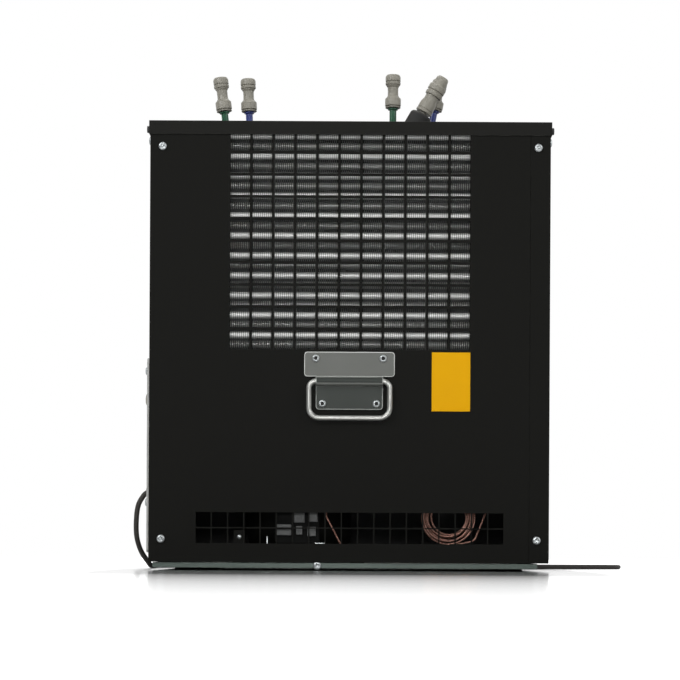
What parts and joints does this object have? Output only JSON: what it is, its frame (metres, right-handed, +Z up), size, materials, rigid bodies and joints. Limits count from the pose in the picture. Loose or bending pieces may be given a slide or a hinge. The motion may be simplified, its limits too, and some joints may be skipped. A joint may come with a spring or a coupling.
{
  "type": "under-counter beer cooler",
  "caption": "Black steel cabinet chilling beer lines: grilled rear panel, condenser and fan, ice-bank tank, drop handles and grey line fittings on the lid",
  "frame": {"origin": "Middle of the footprint, on the surface that the feet stand on", "axes": "+Z up; -Y out of the rear panel, the side with the grilles; +X to the right as the rear panel is looked at"},
  "size_m": [0.7073, 0.7131, 0.6821],
  "materials": {
    "black_coat": "satin, lightly pebbled",
    "lid_coat": "satin",
    "galvanised": "dull zinc coat",
    "brushed": "brushed",
    "bright_steel": "bright",
    "zinc": "zinc plated",
    "aluminium": "mill",
    "copper": "drawn copper",
    "black_plastic": "satin",
    "black_rubber": "matt",
    "grey_plastic": "moulded",
    "light_grey": "moulded",
    "white_foam": "foam filled",
    "yellow": "printed film, bare",
    "green_line": "extruded",
    "blue_line": "extruded",
    "cord_rubber": "matt"
  },
  "bodies": {
    "cabinet": {"rear_panel": "black_coat", "left_side_panel": "black_coat", "right_side_panel": "black_coat", "front_panel": "black_coat", "agitator_motor": "black_coat", "fan_shroud": "black_coat", "fan_motor": "black_coat", "compressor": "black_coat", "lid": "lid_coat", "base_tray": "galvanised", "rear_handle_plate": "brushed", "front_handle_plate": "brushed", "product_coil_1": "bright_steel", "product_coil_2": "bright_steel", "panel_screw_1": "zinc", "panel_screw_2": "zinc", "panel_screw_3": "zinc", "panel_screw_4": "zinc", "handle_screw_1": "zinc", "handle_screw_2": "zinc", "handle_screw_3": "zinc", "handle_screw_4": "zinc", "condenser_fins": "aluminium", "condenser_tubes": "copper", "evaporator_coil": "copper", "filter_drier": "copper", "capillary_coil": "copper", "relay_box": "black_plastic", "cord_gland": "black_plastic", "plug": "black_plastic", "foot_1": "black_rubber", "foot_2": "black_rubber", "foot_3": "black_rubber", "foot_4": "black_rubber", "left_grommet": "black_rubber", "right_grommet": "black_rubber", "python_sleeve": "black_rubber", "suction_line": "black_rubber", "connector_1": "grey_plastic", "connector_2": "grey_plastic", "connector_3": "grey_plastic", "connector_4": "grey_plastic", "python_connector": "grey_plastic", "python_line": "grey_plastic", "control_cover": "light_grey", "insulated_tank": "white_foam", "yellow_plate": "yellow", "beer_line_1": "green_line", "beer_line_3": "green_line", "beer_line_2": "blue_line", "beer_line_4": "blue_line", "cord": "cord_rubber", "cord_coil": "cord_rubber"},
    "rear_bail": {"rear_handle_bail": "bright_steel"},
    "front_bail": {"front_handle_bail": "bright_steel"},
    "hatch": {"fill_hatch": "black_plastic"},
    "knob": {"thermostat_knob": "grey_plastic"},
    "rocker": {"rocker_switch": "black_plastic"},
    "fan": {"fan_blade": "aluminium"},
    "agitator_shaft": {"agitator": "bright_steel"}
  },
  "joints": [
    {"name": "rear_bail_swing", "type": "hinge", "parent": "cabinet", "child": "rear_bail", "pos_m": [0, -0.2438, 0.2363], "axis": [-1, 0, 0], "range_deg": [0, 100]},
    {"name": "front_bail_swing", "type": "hinge", "parent": "cabinet", "child": "front_bail", "pos_m": [0, 0.2438, 0.2363], "axis": [1, 0, 0], "range_deg": [0, 100]},
    {"name": "hatch_lift", "type": "slide", "parent": "cabinet", "child": "hatch", "axis": [0, 0, 1], "range_m": [0, 0.06]},
    {"name": "thermostat_turn", "type": "hinge", "parent": "cabinet", "child": "knob", "pos_m": [-0.254, -0.19, 0.216], "axis": [-1, 0, 0], "range_deg": [0, 270]},
    {"name": "rocker_tilt", "type": "hinge", "parent": "cabinet", "child": "rocker", "pos_m": [-0.2537, -0.19, 0.257], "axis": [0, 0, -1], "range_deg": [0, 8]},
    {"name": "fan_spin", "type": "hinge", "parent": "cabinet", "child": "fan", "pos_m": [0, -0.1525, 0.41], "axis": [0, 1, 0], "continuous": true},
    {"name": "agitator_spin", "type": "hinge", "parent": "cabinet", "child": "agitator_shaft", "pos_m": [0, 0.095, 0.2], "axis": [0, 0, 1], "continuous": true}
  ]
}
